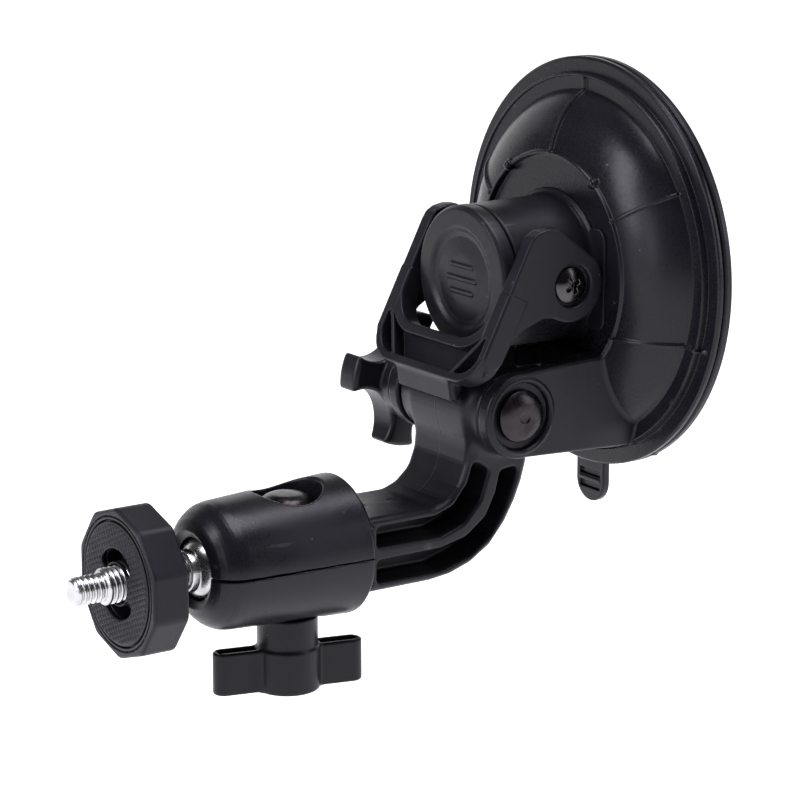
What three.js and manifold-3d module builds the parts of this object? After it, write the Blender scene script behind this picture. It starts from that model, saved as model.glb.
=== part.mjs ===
// Suction-cup camera mount with a lever-locked cup, a swinging arm and a clamped ball head.
//
// Frame, millimetres: the origin is the centre of the cup's contact face. +Y goes into the
// glass, -Y points out along the neck towards the user, +Z is up, and X is the direction of the
// lever's and the arm's pivots.

import * as THREE from 'three';
import { mergeVertices } from 'three/addons/utils/BufferGeometryUtils.js';
import Module from 'manifold-3d';

const wasm = await Module();
wasm.setup();

// ---------------------------------------------------------------- driving dimensions
const GAP = 0.35;                 // clearance between touching pieces

const CUP_R = 47.5;               // suction cup and shell rim
const CUP_T = 2.2;                // rubber thickness at the rim
const RIM_BACK = -2.9, RIM_FRONT = -4.3;
const RING_Y = -5.5;              // flat ring round the dome
const DOME_R = 39.7;              // foot of the dome
const FLOOR_Y = -14.0;            // flat floor inside the dome's bulge
const NECK_R = 16.6, NECK_BORE = 13.6, NECK_END = -35.7;

const LEVER_Y = -24.2;            // lever pivot, z = 0
const LEVER_LIFT = 5.2;           // how far the cams pull the stem
const LEVER_IN = 17.4, LEVER_OUT = 21.0;
const CAM_R = 8.3;
const PAD_TOP = -15.0;            // wear pads that the cams bear on

const PIVOT_Y = -37.0, PIVOT_Z = -28.5;   // arm pivot
const EAR_IN = 15.8, EAR_OUT = 19.5, EAR_R = 9.8;
const HUB_R = 9.3, HUB_X = 15.3;
const ARM_X = 11.5;               // half width of the arm
const ARM_END = -73.2;            // where the arm enters the clamp

const AXIS_Z = -56.24;            // axis of the ball head
const CLAMP_REAR = -73.8, CLAMP_FRONT = -112.0;
const CLAMP_R0 = 15.9, CLAMP_R1 = 14.4;
const BOLT_Y = -87.2;             // clamp bolt and T-knob
const BALL_Y = -105.0, BALL_R = 8.5;

const WHEEL_BACK = -121.8, WHEEL_FRONT = -130.2, WHEEL_R = 16.4;
const PAD_FACE = -130.8, PAD_R = 13.6;
const STEM_R = 4.05, STEM_END = -134.1;           // thick thread that carries the wheel
const STUD_R = 3.175, STUD_END = -141.4;          // 1/4 inch camera stud

// ---------------------------------------------------------------- helpers
const CYCLE = [
  new THREE.Matrix4(),                                                   // local Y stays Y
  new THREE.Matrix4().set(0, 0, 1, 0, 1, 0, 0, 0, 0, 1, 0, 0, 0, 0, 0, 1), // x>Y y>Z z>X
  new THREE.Matrix4().set(0, 1, 0, 0, 0, 0, 1, 0, 1, 0, 0, 0, 0, 0, 0, 1), // y>X z>Y x>Z
];

function solid(geometry) {
  let g = geometry.clone();
  for (const key of Object.keys(g.attributes)) if (key !== 'position') g.deleteAttribute(key);
  g = mergeVertices(g, 1e-4);
  const p = g.attributes.position.array, index = g.index.array, tris = [];
  let volume = 0;
  for (let i = 0; i < index.length; i += 3) {
    const [a, b, c] = [index[i], index[i + 1], index[i + 2]];
    if (a === b || b === c || a === c) continue;
    tris.push(a, b, c);
    const A = new THREE.Vector3().fromArray(p, 3 * a);
    const B = new THREE.Vector3().fromArray(p, 3 * b);
    const C = new THREE.Vector3().fromArray(p, 3 * c);
    volume += A.dot(B.cross(C));
  }
  if (volume < 0) for (let i = 0; i < tris.length; i += 3) [tris[i], tris[i + 1]] = [tris[i + 1], tris[i]];
  return new wasm.Manifold(new wasm.Mesh({
    numProp: 3, vertProperties: Float32Array.from(p), triVerts: Uint32Array.from(tris),
  }));
}

// profile [[radius, height], ...] spun about an axis: 'x', 'y' or 'z', through at = [x, y, z]
function spin(profile, axis, at = [0, 0, 0], segments = 24) {
  const pts = profile.map(([r, h]) => new THREE.Vector2(r, h));
  const first = pts[0], last = pts[pts.length - 1];
  if (!(first.x === 0 && last.x === 0) && !first.equals(last)) pts.push(first.clone());
  const g = new THREE.LatheGeometry(pts, segments);
  if (axis === 'x') g.applyMatrix4(CYCLE[2]);
  if (axis === 'z') g.applyMatrix4(CYCLE[1]);
  g.translate(...at);
  return solid(g);
}
const rod = (r, h0, h1, axis, at, segments = 24) => spin([[0, h0], [r, h0], [r, h1], [0, h1]], axis, at, segments);

function outline(points, holes = []) {
  const s = new THREE.Shape(points.map(([a, b]) => new THREE.Vector2(a, b)));
  for (const hole of holes) s.holes.push(new THREE.Path(hole.map(([a, b]) => new THREE.Vector2(a, b))));
  return s;
}
// points (y, z), extruded along X
function prismX(points, x0, x1, holes) {
  const g = new THREE.ExtrudeGeometry(outline(points, holes), { depth: x1 - x0, bevelEnabled: false, curveSegments: 4 });
  g.translate(0, 0, x0);
  g.applyMatrix4(CYCLE[1]);
  return solid(g);
}
// points (x, y), extruded along Z
function prismZ(points, z0, z1, turn = 0, at = [0, 0]) {
  const g = new THREE.ExtrudeGeometry(outline(points), { depth: z1 - z0, bevelEnabled: false, curveSegments: 4 });
  g.rotateZ(turn);
  g.translate(at[0], at[1], z0);
  return solid(g);
}
// points (z, x), extruded along Y
function prismY(points, y0, y1, holes) {
  const g = new THREE.ExtrudeGeometry(outline(points, holes), { depth: y1 - y0, bevelEnabled: false, curveSegments: 4 });
  g.translate(0, 0, y0);
  g.applyMatrix4(CYCLE[2]);
  return solid(g);
}
function block(x0, x1, y0, y1, z0, z1) {
  const g = new THREE.BoxGeometry(x1 - x0, y1 - y0, z1 - z0);
  g.translate((x0 + x1) / 2, (y0 + y1) / 2, (z0 + z1) / 2);
  return solid(g);
}
function arc(cx, cy, r, from, to, steps) {
  const out = [];
  for (let i = 0; i <= steps; i++) {
    const t = THREE.MathUtils.degToRad(from + (to - from) * i / steps);
    out.push([cx + r * Math.cos(t), cy + r * Math.sin(t)]);
  }
  return out;
}
const join = (first, ...rest) => rest.reduce((a, b) => a.add(b), first);
const cut = (first, ...rest) => rest.reduce((a, b) => a.subtract(b), first);

const looks = {
  abs: { color: 0x17171a, roughness: 0.45, metalness: 0 },
  rubber: { color: 0x1b191f, roughness: 0.6, metalness: 0 },
  screw: { color: 0x0c0c0e, roughness: 0.25, metalness: 0.6 },
  bolt: { color: 0x3a3634, roughness: 0.32, metalness: 0.9 },
  silver: { color: 0xc9c9c7, roughness: 0.28, metalness: 1 },
  steel: { color: 0x9a9a98, roughness: 0.35, metalness: 1 },
};
const part = new THREE.Group();
function piece(name, manifold, look) {
  const m = manifold.getMesh();
  const g = new THREE.BufferGeometry();
  g.setAttribute('position', new THREE.BufferAttribute(Float32Array.from(m.vertProperties), 3));
  g.setIndex(new THREE.BufferAttribute(Uint32Array.from(m.triVerts), 1));
  g.computeVertexNormals();
  const mesh = new THREE.Mesh(g, new THREE.MeshStandardMaterial(looks[look]));
  mesh.name = name;
  part.add(mesh);
}

// ---------------------------------------------------------------- suction cup, with its lift tab
{
  const disc = spin([
    [0, 0], [46.9, 0], [CUP_R, -0.5], [CUP_R, -CUP_T + 0.3], [47.1, -CUP_T], [46.2, -CUP_T - 0.2],
    [15.0, -CUP_T - 0.2], [13.2, -3.4], [12.6, -5.6], [0, -5.6],
  ], 'y', [0, 0, 0], 44);
  const half = 5.2, end = -57.7 + half;
  const tab = prismY([[-45, -half], [-45, half], ...arc(end, 0, half, 90, 270, 10)], -2.3, -0.5);
  const ribs = [-50.6, -53.6].map(z => block(-3.6, 3.6, -2.8, -1.5, z - 0.5, z + 0.5));
  piece('suction_cup', join(disc, tab, ...ribs), 'rubber');
}

// ---------------------------------------------------------------- base shell: dome, neck and the two ears
{
  const hollow = [[25.2, -11.6], [28.6, -11.9], [32.4, -10.3], [35.6, -7.7], [37.6, -4.6]];
  const shell = spin([
    [CUP_R, RIM_BACK], [CUP_R, -3.9], [47.1, RIM_FRONT], [43.9, RIM_FRONT], [43.6, -6.0], [43.1, -6.0],
    [42.9, RING_Y], [40.0, RING_Y], [DOME_R, -6.2], [38.6, -7.7], [36.9, -9.4], [35.0, -11.0],
    [32.4, -12.6], [30.1, -13.7], [26.9, -14.7], [26.7, -15.5], [26.0, -15.5],
    [25.8, FLOOR_Y], [18.0, FLOOR_Y], [16.9, -14.8], [NECK_R, NECK_END],
    [NECK_BORE, NECK_END], [NECK_BORE, -11.6], ...hollow, [44.2, RIM_BACK],
  ], 'y', [0, 0, 0], 44);
  // the hollow under the dome, kept clear where the ears and the web run down into it
  const clear = spin([[0, 0], [44.2, 0], [44.2, RIM_BACK], ...[...hollow].reverse(), [13.0, -11.6], [0, -11.6]], 'y', [0, 0, 0], 44);
  const side = [[-12.8, -17.4], ...arc(PIVOT_Y, PIVOT_Z, EAR_R, 84, 278, 14), [-4.9, -39.3], [-4.9, -36.2], [-6.6, -33.0], [-9.6, -28.0], [-11.8, -17.4]];
  const earR = prismX(side, EAR_IN, EAR_OUT), earL = prismX(side, -EAR_OUT, -EAR_IN);
  const fair = [[18.5, -25.0], [EAR_OUT, -25.0], [20.3, -14.6], [20.9, -7.6], [18.5, -7.6]];
  const fairR = prismZ(fair, -35.0, -21.5);
  const fairL = prismZ(fair.map(([x, y]) => [-x, y]).reverse(), -35.0, -21.5);
  const web = prismX([[-18.0, -17.0], [-18.0, -34.0], [-6.6, -34.0], [-9.6, -28.0], [-11.8, -17.0]], -15.9, 15.9);
  const pads = [1, -1].map(s => block(s > 0 ? 17.6 : -20.4, s > 0 ? 20.4 : -17.6, PAD_TOP, -13.0, -11.5, 11.0));
  const slots = [1, -1].map(s => block(s > 0 ? 12 : -18, s > 0 ? 18 : -12, LEVER_Y - LEVER_LIFT - 2.6, LEVER_Y + 2.6, -2.7, 2.7));
  const recess = rod(7.5, 18.1, 20, 'x', [0, PIVOT_Y, PIVOT_Z], 24);
  const bore = rod(3.3, -21, 21, 'x', [0, PIVOT_Y, PIVOT_Z], 20);
  piece('base_shell', cut(join(shell, cut(join(earR, earL, fairR, fairL, web), clear), ...pads), ...slots, recess, bore), 'abs');
}

// ---------------------------------------------------------------- pull stem, its plate and the cap
piece('stem_plate', spin([[0, -5.95], [12.0, -5.95], [12.0, -7.2], [3.2, -7.2], [3.2, -17.6], [0, -17.6]], 'y'), 'steel');
{
  const body = spin([
    [3.6, -7.6], [8.0, -7.6], [8.0, -17.2], [13.0, -18.4], [13.0, -33.0], [8.8, -33.0], [8.8, -28.0],
    [0, -28.0], [0, -18.0], [3.6, -18.0],
  ], 'y', [0, 0, 0], 24);
  const holes = [1, -1].map(s => rod(2.3, s > 0 ? 7.2 : -14, s > 0 ? 14 : -7.2, 'x', [0, LEVER_Y, 0], 16));
  piece('pull_stem', cut(body, ...holes), 'abs');
}
piece('press_cap', spin([
  [16.7, -36.2], [16.7, -39.2], [15.8, -40.2], [11.6, -40.3], [10.6, -39.7], [0, -39.9],
  [0, -37.6], [6.6, -37.6], [6.6, -30.2], [8.3, -30.2], [8.3, -37.6], [15.0, -37.6], [15.0, -36.2],
], 'y', [0, 0, 0], 36), 'abs');
{
  const turns = 4, r = 5.0, y0 = -28.9, y1 = -36.6, pts = [];
  for (let i = 0; i <= turns * 10; i++) {
    const t = 2 * Math.PI * i / 10;
    pts.push(new THREE.Vector3(r * Math.cos(t), y0 + (y1 - y0) * i / (turns * 10), r * Math.sin(t)));
  }
  const wire = new THREE.Shape(arc(0, 0, 0.45, 0, 300, 5).map(([a, b]) => new THREE.Vector2(a, b)));
  const path = new THREE.CatmullRomCurve3(pts);
  piece('cap_spring', solid(new THREE.ExtrudeGeometry(wire, { steps: turns * 10, extrudePath: path, bevelEnabled: false })), 'steel');
}
for (const [name, s] of [['lever_screw_right', 1], ['lever_screw_left', -1]]) {
  piece(name, spin([[0, s * 7.6], [2.0, s * 7.6], [2.0, s * 19.75], [4.3, s * 19.75], [4.3, s * 20.2], [3.3, s * 20.8], [1.6, s * 21.1], [0, s * 21.15]],
    'x', [0, LEVER_Y, 0], 20), 'screw');
}

// ---------------------------------------------------------------- lock lever: two cam arms joined by a grip bar
{
  const T0 = [-36.3, 10.6], D = [-0.459, -0.888], N = [0.888, -0.459];   // top line of the lever and its inward normal
  const at = (s, n = 0) => [T0[0] + D[0] * s + N[0] * n, T0[1] + D[1] * s + N[1] * n];
  const side = [
    at(0.3), [-35.4, 12.0], [-33.6, 13.1], [-31.0, 13.6], [-28.4, 13.4],
    ...arc(LEVER_Y, 0, CAM_R, 40, -128, 14), [-32.2, -6.7], [-38.4, -8.8], [-41.3, -11.4], at(27.5, 5.0), at(27.5, 0),
  ];
  const arms = [prismX(side, LEVER_IN, LEVER_OUT), prismX(side, -LEVER_OUT, -LEVER_IN)];
  // grip bar, drawn in the lever's top plane as (x, s)
  const R = 8, S = 33.9;
  const bar = [[-LEVER_OUT, 12], [-LEVER_IN, 12], ...arc(-LEVER_IN + 6.5, 17.4, 6.5, 180, 90, 5), ...arc(LEVER_IN - 6.5, 17.4, 6.5, 90, 0, 5),
    [LEVER_IN, 12], [LEVER_OUT, 12], ...arc(LEVER_OUT - R, S - R, R, 0, 90, 6), ...arc(-LEVER_OUT + R, S - R, R, 90, 180, 6)];
  const toWorld = new THREE.Matrix4().set(1, 0, 0, 0, 0, D[0], N[0], T0[0], 0, D[1], N[1], T0[1], 0, 0, 0, 1);
  const plate = new THREE.ExtrudeGeometry(outline(bar), { depth: 5.2, bevelEnabled: false });
  plate.applyMatrix4(toWorld);
  const tray = new THREE.ExtrudeGeometry(outline([[-12, 26.8], [12, 26.8], [15.4, 28.2], [14.4, 31.2], [-14.4, 31.2], [-15.4, 28.2]]), { depth: 4, bevelEnabled: false });
  tray.translate(0, 0, -0.6);
  tray.applyMatrix4(toWorld);
  const lip = prismX([[-50.9, -19.6], [-49.8, -24.9], [-48.0, -25.6], [-46.6, -21.0]], -12, 12);
  const holes = [1, -1].map(s => rod(2.45, s > 0 ? 16 : -22, s > 0 ? 22 : -16, 'x', [0, LEVER_Y, 0], 20));
  const sinks = [1, -1].map(s => rod(4.9, s > 0 ? 19.4 : -22, s > 0 ? 22 : -19.4, 'x', [0, LEVER_Y, 0], 24));
  piece('lock_lever', cut(join(...arms, solid(plate), lip), solid(tray), ...holes, ...sinks), 'abs');
}

// ---------------------------------------------------------------- arm
{
  const outer = [[-28.9, -41.6], [-30.2, -46.2], [-32.1, -50.6], [-34.9, -55.3], [-39.1, -60.1], [-44.7, -63.5], [-50.2, -65.2], [-55.7, -65.8], [ARM_END, -65.8]];
  const inner = [[ARM_END, -48.8], [-54.8, -48.9], [-51.1, -47.6], [-47.6, -44.6], [-45.9, -40.3], [-45.3, -34.6]];
  const profile = [...arc(PIVOT_Y, PIVOT_Z, HUB_R, 185, -20, 14), ...outer, ...inner];
  const beam = prismX(profile, -ARM_X, ARM_X);
  const hub = spin([[0, -HUB_X], [HUB_R, -HUB_X], [HUB_R, HUB_X], [0, HUB_X]], 'x', [0, PIVOT_Y, PIVOT_Z], 32);
  const g1 = [[-44.1, -39.3], [-45.9, -44.5], [-49.8, -48.9], [-54.6, -50.6], [-70.6, -50.7], [-70.6, -55.6], [-53.0, -55.6], [-47.0, -53.6], [-42.4, -48.8], [-40.1, -42.0]];
  const g2 = [[-36.9, -42.8], [-38.1, -47.6], [-40.9, -52.9], [-46.3, -56.8], [-53.0, -58.3], [-70.6, -58.5], [-70.6, -63.8], [-52.8, -63.9], [-44.9, -61.6], [-38.9, -57.2], [-35.0, -51.1], [-32.7, -45.6], [-31.8, -42.2]];
  const grooves = [];
  for (const g of [g1, g2]) grooves.push(prismX(g, 3.5, 13), prismX(g, -13, -3.5));
  const spigot = block(-8, 8, -80.6, ARM_END + 1, AXIS_Z - 6, AXIS_Z + 6);
  const bore = rod(3.3, -17, 17, 'x', [0, PIVOT_Y, PIVOT_Z], 20);
  piece('curved_arm', cut(join(beam, hub, spigot), ...grooves, bore), 'abs');
}
piece('pivot_bolt', spin([[0, 20.7], [2.6, 20.5], [4.6, 19.8], [6.0, 18.9], [6.0, 18.45], [2.9, 18.45], [2.9, -31.4], [2.5, -31.9], [0, -31.9]],
  'x', [0, PIVOT_Y, PIVOT_Z], 24), 'bolt');
piece('knob_washer', spin([[3.25, -19.85], [8.0, -19.85], [8.0, -20.65], [3.25, -20.65]], 'x', [0, PIVOT_Y, PIVOT_Z], 24), 'steel');
{
  // four-lobed knob
  const lobe = 15.0, half = 3.8, pts = [];
  for (let k = 0; k < 4; k++) {
    const a = 90 * k - 12;
    const rot = ([u, v]) => { const t = THREE.MathUtils.degToRad(a); return [PIVOT_Y + u * Math.cos(t) - v * Math.sin(t), PIVOT_Z + u * Math.sin(t) + v * Math.cos(t)]; };
    for (const q of [[9.2, -half - 1.1], [lobe - 0.4, -half], [lobe, -half + 0.8], [lobe, half - 0.8], [lobe - 0.4, half], [9.2, half + 1.1]]) pts.push(rot(q));
    const b = a + 45, t = THREE.MathUtils.degToRad(b);
    pts.push([PIVOT_Y + 8.3 * Math.cos(t), PIVOT_Z + 8.3 * Math.sin(t)]);
  }
  const lobes = prismX(pts, -33.0, -24.0);
  const ring = rod(8.5, -25, -21.0, 'x', [0, PIVOT_Y, PIVOT_Z], 24);
  const bore = rod(3.3, -34, -20, 'x', [0, PIVOT_Y, PIVOT_Z], 20);
  const socket = rod(5.9, -34, -28.6, 'x', [0, PIVOT_Y, PIVOT_Z], 6);
  piece('star_knob', cut(join(lobes, ring), bore, socket), 'abs');
  piece('star_knob_nut', cut(rod(5.4, -32.6, -28.95, 'x', [0, PIVOT_Y, PIVOT_Z], 6), bore), 'steel');
}

// ---------------------------------------------------------------- ball head
{
  const A = [0, 0, AXIS_Z];
  const barrel = spin([
    [0, CLAMP_REAR], [CLAMP_R0 - 0.4, CLAMP_REAR], [CLAMP_R0, CLAMP_REAR - 0.5], [15.2, -88], [CLAMP_R1, -105.4], [13.9, -107.4],
    [12.6, -109.5], [10.8, -111.2], [8.6, CLAMP_FRONT], [0, CLAMP_FRONT],
  ], 'y', A, 32);
  const ballRoom = [];
  for (let i = 0; i <= 8; i++) { const t = Math.PI * i / 8; ballRoom.push([9.1 * Math.sin(t), BALL_Y - 9.1 * Math.cos(t)]); }
  ballRoom[0][0] = 0; ballRoom[8][0] = 0;
  const room = spin(ballRoom, 'y', A, 24);
  const mouth = spin([[0, -109], [6.6, -109], [6.6, -110.9], [8.4, -112.4], [0, -112.4]], 'y', A, 24);
  const pocket = block(-8.4, 8.4, -81, -73, AXIS_Z - 6.4, AXIS_Z + 6.4);
  const hole = rod(3.3, -76, -36, 'z', [0, BOLT_Y, 0], 20);
  const sink = rod(8.0, AXIS_Z + 9.0, -38, 'z', [0, BOLT_Y, 0], 24);
  const spot = rod(7.5, -75, -70.2, 'z', [0, BOLT_Y, 0], 24);
  const padRoom = rod(4.4, AXIS_Z, AXIS_Z + 11.2, 'z', [0, BALL_Y, 0], 20);
  const whole = cut(barrel, room, mouth, pocket, hole, sink, spot, padRoom);
  // the halves meet at the rear and stand apart at the front, so the bolt can pinch the ball
  const seam = s => [[-72, AXIS_Z + s * 0.16], [-114, AXIS_Z + s * 0.42]];
  const below = prismX([[-72, AXIS_Z - 20], ...seam(1), [-114, AXIS_Z - 20]], -20, 20);
  const above = prismX([[-72, AXIS_Z + 20], ...seam(-1), [-114, AXIS_Z + 20]], -20, 20);
  piece('upper_clamp_shell', cut(whole, below), 'abs');
  piece('lower_clamp_shell', cut(whole, above), 'abs');
  piece('clamp_bolt', spin([[0, -84.6], [2.9, -84.6], [2.9, -45.85], [6.3, -45.85], [6.3, -44.8], [5.2, -43.6], [3.0, -42.9], [0, -42.6]], 'z', [0, BOLT_Y, 0], 24), 'bolt');
  piece('clamp_washer', spin([[3.3, -46.92], [7.2, -46.92], [7.2, -46.2], [3.3, -46.2]], 'z', [0, BOLT_Y, 0], 24), 'steel');
}
{
  // two-winged knob under the clamp, its wings turned a little off the line of the barrel
  const turn = THREE.MathUtils.degToRad(-14), top = -77.7, bottom = -87.7;
  const neck = rod(6.84, top - 1, -70.55, 'z', [0, BOLT_Y, 0], 24);
  const hub = rod(7.3, bottom, top, 'z', [0, BOLT_Y, 0], 24);
  const wings = prismZ([...arc(0, -14.9, 2.5, 180, 360, 6), [2.9, -5], [2.9, 5], ...arc(0, 14.9, 2.5, 0, 180, 6), [-2.9, 5], [-2.9, -5]], bottom + 0.2, top - 0.1, turn, [0, BOLT_Y]);
  const slots = [1, -1].map(s => prismZ((s > 0 ? [[-1.2, 9], [1.2, 9], [1.2, 15.4], [-1.2, 15.4]] : [[-1.2, -15.4], [1.2, -15.4], [1.2, -9], [-1.2, -9]]), bottom + 1.6, top + 1, turn, [0, BOLT_Y]));
  const bore = rod(3.3, -90, -70, 'z', [0, BOLT_Y, 0], 20);
  const socket = rod(5.9, -90, -83.9, 'z', [0, BOLT_Y, 0], 6);
  piece('t_knob', cut(join(neck, hub, wings), ...slots, bore, socket), 'abs');
  piece('t_knob_nut', cut(rod(5.4, -87.4, -84.25, 'z', [0, BOLT_Y, 0], 6), bore), 'steel');
}
piece('ball_seat_pad', spin([[0, AXIS_Z + 9.0], [4.0, AXIS_Z + 9.0], [4.0, AXIS_Z + 10.8], [0, AXIS_Z + 10.8]], 'z', [0, BALL_Y, 0], 20), 'rubber');
{
  const pts = [];
  for (let i = 0; i <= 10; i++) { const t = Math.PI * i / 10; pts.push([BALL_R * Math.sin(t), BALL_Y + BALL_R * Math.cos(t)]); }
  pts[0][0] = 0; pts[10][0] = 0;
  const sphere = spin(pts, 'y', [0, 0, AXIS_Z], 24);
  const face = block(-9, 9, -115, BALL_Y - 7.6, AXIS_Z - 9, AXIS_Z + 9);
  const hole = rod(3.0, -116, -101.6, 'y', [0, 0, AXIS_Z], 20);
  piece('ball', cut(sphere, face, hole), 'silver');
}
piece('ball_stud', spin([
  [0, -102.0], [2.65, -102.0], [2.65, -112.95], [3.4, -112.95], [3.4, -118.6], [5.0, -119.0], [5.0, -120.6], [STEM_R, -120.9], [STEM_R, STEM_END + 0.5], [STUD_R, STEM_END],
  [STUD_R, STUD_END + 0.8], [2.5, STUD_END], [0, STUD_END],
], 'y', [0, 0, AXIS_Z], 24), 'silver');
{
  const kidney = (r0, r1, mid) => [...arc(0, 0, r1, mid - 48, mid + 48, 8), ...arc(0, 0, r0, mid + 48, mid - 48, 6)];
  const place = ([z, x]) => [z + AXIS_Z, x];
  const body = spin([[0, WHEEL_FRONT], [15.0, WHEEL_FRONT], [WHEEL_R, WHEEL_FRONT + 1.5], [WHEEL_R, WHEEL_BACK - 0.6], [15.8, WHEEL_BACK], [0, WHEEL_BACK]], 'y', [0, 0, AXIS_Z], 10);
  const seat = rod(14.0, -132, -129.2, 'y', [0, 0, AXIS_Z], 32);
  const bore = rod(4.4, -132, -120, 'y', [0, 0, AXIS_Z], 24);
  const deep = [0, 180].map(a => prismY(kidney(4.9, 7.8, a).map(place), -132, -125.2));
  piece('lock_wheel', cut(body, seat, bore, ...deep), 'abs');
  const ring = spin([[4.5, -129.5], [PAD_R, -129.5], [PAD_R, PAD_FACE + 0.2], [PAD_R - 0.2, PAD_FACE], [4.5, PAD_FACE]], 'y', [0, 0, AXIS_Z], 32);
  piece('wheel_pad', cut(ring, ...deep), 'rubber');
}

export default part;
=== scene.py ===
import math
import time
import bpy
import numpy as np
from mathutils import Matrix, Vector


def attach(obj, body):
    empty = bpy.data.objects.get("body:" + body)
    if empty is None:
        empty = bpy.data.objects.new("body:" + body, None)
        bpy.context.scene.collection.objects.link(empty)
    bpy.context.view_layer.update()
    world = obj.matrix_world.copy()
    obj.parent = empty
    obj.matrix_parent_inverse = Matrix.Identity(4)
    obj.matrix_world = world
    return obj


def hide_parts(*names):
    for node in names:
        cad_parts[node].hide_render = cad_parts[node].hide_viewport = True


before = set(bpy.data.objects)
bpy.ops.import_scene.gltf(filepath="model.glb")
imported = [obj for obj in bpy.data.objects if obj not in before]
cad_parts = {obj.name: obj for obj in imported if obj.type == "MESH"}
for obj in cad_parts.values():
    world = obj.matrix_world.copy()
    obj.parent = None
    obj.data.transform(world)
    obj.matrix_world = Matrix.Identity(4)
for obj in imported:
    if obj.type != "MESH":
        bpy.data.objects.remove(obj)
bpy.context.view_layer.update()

T0 = time.time()
MM = 0.001

# =====================================================================================
# Geometry kit. Lengths are millimetres in the row frame.
# A piece is written as a signed distance function of points P (n, 3), so that every edge and
# every junction has a real moulded radius, and is meshed on a sparse grid.
# =====================================================================================

def smin(a, b, k):
    h = np.maximum(k - np.abs(a - b), 0.0) / k
    return np.minimum(a, b) - h * h * k * 0.25


def smax(a, b, k):
    return -smin(-a, -b, k)


def union(*d, k=0.0):
    out = d[0]
    for x in d[1:]:
        out = smin(out, x, k) if k else np.minimum(out, x)
    return out


def cut(a, b, k=0.35):
    return smax(a, -b, k)


def ext(d2, h, r):
    """2D distance d2 carried along a height, |coordinate| - half = h, with its edges rounded by r."""
    qx, qy = d2 + r, h + r
    return np.minimum(np.maximum(qx, qy), 0.0) + np.hypot(np.maximum(qx, 0.0), np.maximum(qy, 0.0)) - r


def poly2(points):
    pts = np.array(points, float)

    def f(a, b):
        d = np.full(a.shape, 1e18)
        s = np.ones(a.shape)
        j = len(pts) - 1
        for i in range(len(pts)):
            ax, ay = pts[i]
            bx, by = pts[j]
            ex, ey = bx - ax, by - ay
            wx, wy = a - ax, b - ay
            t = np.clip((wx * ex + wy * ey) / (ex * ex + ey * ey), 0, 1)
            d = np.minimum(d, (wx - ex * t) ** 2 + (wy - ey * t) ** 2)
            c1, c2, c3 = b >= ay, b < by, ex * wy > ey * wx
            s = np.where((c1 & c2 & c3) | (~c1 & ~c2 & ~c3), -s, s)
            j = i
        return s * np.sqrt(d)

    return f


def fillet(points, closed=True, steps=5):
    """points (a, b, radius): the corners become arcs."""
    out = []
    n = len(points)
    for i, p in enumerate(points):
        a, b = p[0], p[1]
        r = p[2] if len(p) > 2 else 0
        if not r or (not closed and i in (0, n - 1)):
            out.append((a, b))
            continue
        P = np.array([a, b], float)
        A = np.array(points[i - 1][:2], float) - P
        B = np.array(points[(i + 1) % n][:2], float) - P
        la, lb = np.linalg.norm(A), np.linalg.norm(B)
        A, B = A / la, B / lb
        ang = math.acos(max(-1, min(1, float(A @ B))))
        if ang > math.pi - 0.02:
            out.append((a, b))
            continue
        t = r / math.tan(ang / 2)
        t = min(t, la * 0.48, lb * 0.48)
        r = t * math.tan(ang / 2)
        C = P + (A + B) / np.linalg.norm(A + B) * (r / math.sin(ang / 2))
        s, e = P + A * t - C, P + B * t - C
        a0, a1 = math.atan2(s[1], s[0]), math.atan2(e[1], e[0])
        da = (a1 - a0 + math.pi) % (2 * math.pi) - math.pi
        m = max(1, int(round(steps * abs(da) / 1.5)))
        for q in range(m + 1):
            u = a0 + da * q / m
            out.append((C[0] + r * math.cos(u), C[1] + r * math.sin(u)))
    return out


def arc(cx, cy, r, a0, a1, n):
    return [(cx + r * math.cos(math.radians(a0 + (a1 - a0) * i / n)), cy + r * math.sin(math.radians(a0 + (a1 - a0) * i / n))) for i in range(n + 1)]


def cyl(P, axis, at, r, h0, h1, e=0.3):
    """Rod along an axis from h0 to h1, edges rounded by e."""
    i = "xyz".index(axis)
    j, k = [q for q in range(3) if q != i]
    d = np.hypot(P[:, j] - at[j], P[:, k] - at[k]) - r
    return ext(d, np.abs(P[:, i] - (h0 + h1) / 2) - (h1 - h0) / 2, e)


def box(P, lo, hi, e=0.3):
    c, s = (np.array(lo) + np.array(hi)) / 2, (np.array(hi) - np.array(lo)) / 2 - e
    q = np.abs(P - c) - s
    return np.minimum(q.max(1), 0) + np.linalg.norm(np.maximum(q, 0), axis=1) - e


def lathe(points):
    """Solid of revolution as a distance of (radius, height). Points with radius 0 go past the axis."""
    f = poly2([(-30.0 if p[0] == 0 else p[0], p[1]) for p in points])
    return f


CORNERS = np.array([[i, j, k] for i in (0, 1) for j in (0, 1) for k in (0, 1)])
EDGES = [(a, b) for a in range(8) for b in range(a + 1, 8) if np.abs(CORNERS[a] - CORNERS[b]).sum() == 1]


def evaluate(f, P, chunk=400000):
    if len(P) <= chunk:
        return f(P)
    return np.concatenate([f(P[i:i + chunk]) for i in range(0, len(P), chunk)])


def gradient(f, P, e=0.02):
    k = np.array([[1, -1, -1], [-1, -1, 1], [-1, 1, -1], [1, 1, 1]], float)
    g = sum(k[i] * evaluate(f, P + k[i] * e)[:, None] for i in range(4))
    return g / (4 * e)


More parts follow.
